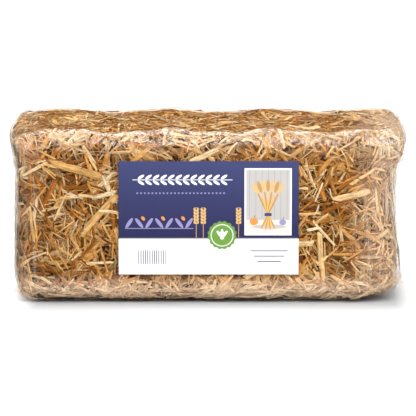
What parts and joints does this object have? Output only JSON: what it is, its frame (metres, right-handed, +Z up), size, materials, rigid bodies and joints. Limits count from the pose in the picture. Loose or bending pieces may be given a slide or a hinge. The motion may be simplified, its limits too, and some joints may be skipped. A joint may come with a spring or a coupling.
{
  "type": "decorative straw bale",
  "caption": "Small craft bale of pressed chopped straw, shrink-wrapped in clear film, with a paper label on the front.",
  "frame": {"origin": "middle of the underside, on the surface that the bale rests on", "axes": "+X along the bale to the right of someone facing the label, -Y out of the label, +Z up"},
  "size_m": [0.3436, 0.1314, 0.154],
  "materials": {
    "pressed_straw": "dry chopped straw, matt, with dark gaps",
    "broad_straw": "dry split straw, satin on the rind",
    "film": "clear shrink film, glossy, with fine creases",
    "label_paper": "smooth printed paper"
  },
  "bodies": {
    "root": {"broad_straw_back_01": "broad_straw", "broad_straw_back_02": "broad_straw", "broad_straw_back_03": "broad_straw", "broad_straw_back_04": "broad_straw", "broad_straw_back_05": "broad_straw", "broad_straw_back_06": "broad_straw", "broad_straw_back_07": "broad_straw", "broad_straw_back_08": "broad_straw", "broad_straw_back_09": "broad_straw", "broad_straw_back_10": "broad_straw", "broad_straw_front_01": "broad_straw", "broad_straw_front_02": "broad_straw", "broad_straw_front_03": "broad_straw", "broad_straw_front_04": "broad_straw", "broad_straw_front_05": "broad_straw", "broad_straw_front_06": "broad_straw", "broad_straw_front_07": "broad_straw", "broad_straw_front_08": "broad_straw", "broad_straw_front_09": "broad_straw", "broad_straw_front_10": "broad_straw", "broad_straw_front_11": "broad_straw", "broad_straw_front_12": "broad_straw", "broad_straw_front_13": "broad_straw", "broad_straw_front_14": "broad_straw", "broad_straw_left_01": "broad_straw", "broad_straw_left_02": "broad_straw", "broad_straw_left_03": "broad_straw", "broad_straw_left_04": "broad_straw", "broad_straw_right_01": "broad_straw", "broad_straw_right_02": "broad_straw", "broad_straw_right_03": "broad_straw", "broad_straw_right_04": "broad_straw", "broad_straw_top_01": "broad_straw", "broad_straw_top_02": "broad_straw", "broad_straw_top_03": "broad_straw", "broad_straw_top_04": "broad_straw", "broad_straw_top_05": "broad_straw", "broad_straw_top_06": "broad_straw", "broad_straw_top_07": "broad_straw", "broad_straw_top_08": "broad_straw", "film_wrap": "film", "paper_label": "label_paper", "pressed_straw": "pressed_straw"}
  },
  "joints": []
}
